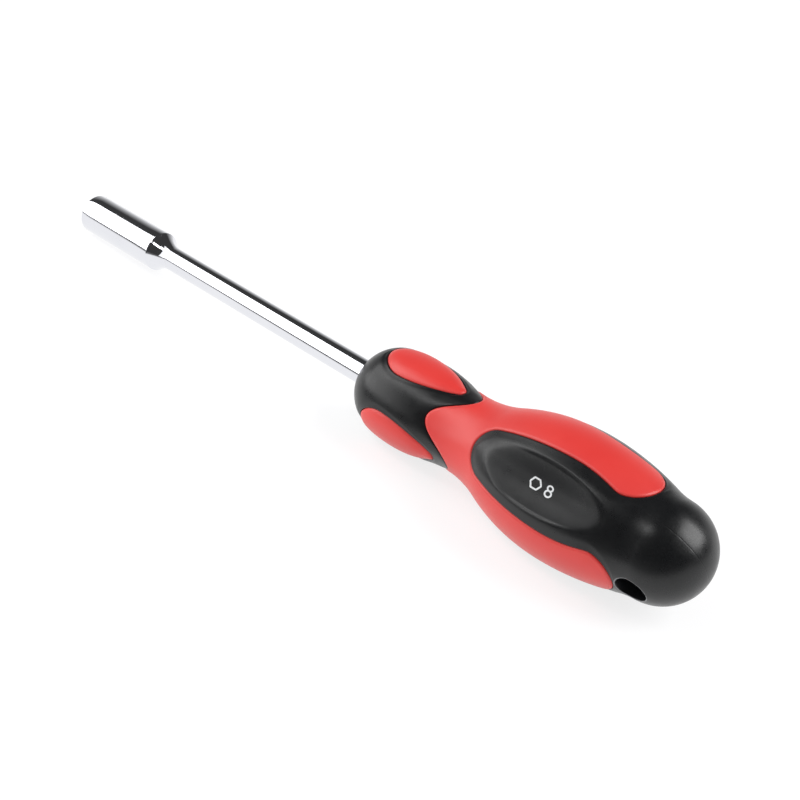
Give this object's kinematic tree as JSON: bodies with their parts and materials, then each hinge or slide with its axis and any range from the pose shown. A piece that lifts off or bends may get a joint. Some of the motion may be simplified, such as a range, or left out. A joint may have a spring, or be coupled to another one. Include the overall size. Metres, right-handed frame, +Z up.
{
  "type": "nut driver",
  "caption": "Hand nut driver: a plated fixed blade with a long hexagon socket, and a waisted two-colour handle with thumb pads, label panels, a ball butt and a hanging hole.",
  "frame": {"origin": "centre of the hexagon socket's mouth, on the drive axis", "axes": "+X along the drive axis from the socket mouth to the butt; +Z up through the red strip opposite a label panel; +Y to the right seen from the butt"},
  "size_m": [0.238, 0.035, 0.0336],
  "materials": {
    "chrome_steel": "polished plating on chrome vanadium steel",
    "black_plastic": "satin moulded polypropylene",
    "red_grip": "matt thermoplastic elastomer",
    "core_plastic": "unfinished moulded polypropylene"
  },
  "bodies": {
    "root": {"socket_head": "chrome_steel", "shaft": "chrome_steel", "inner_core": "core_plastic", "front_collar": "black_plastic", "thumb_pad_top": "red_grip", "thumb_pad_near": "red_grip", "thumb_pad_far": "red_grip", "grip_sleeve": "red_grip", "rear_body": "black_plastic"}
  },
  "joints": []
}
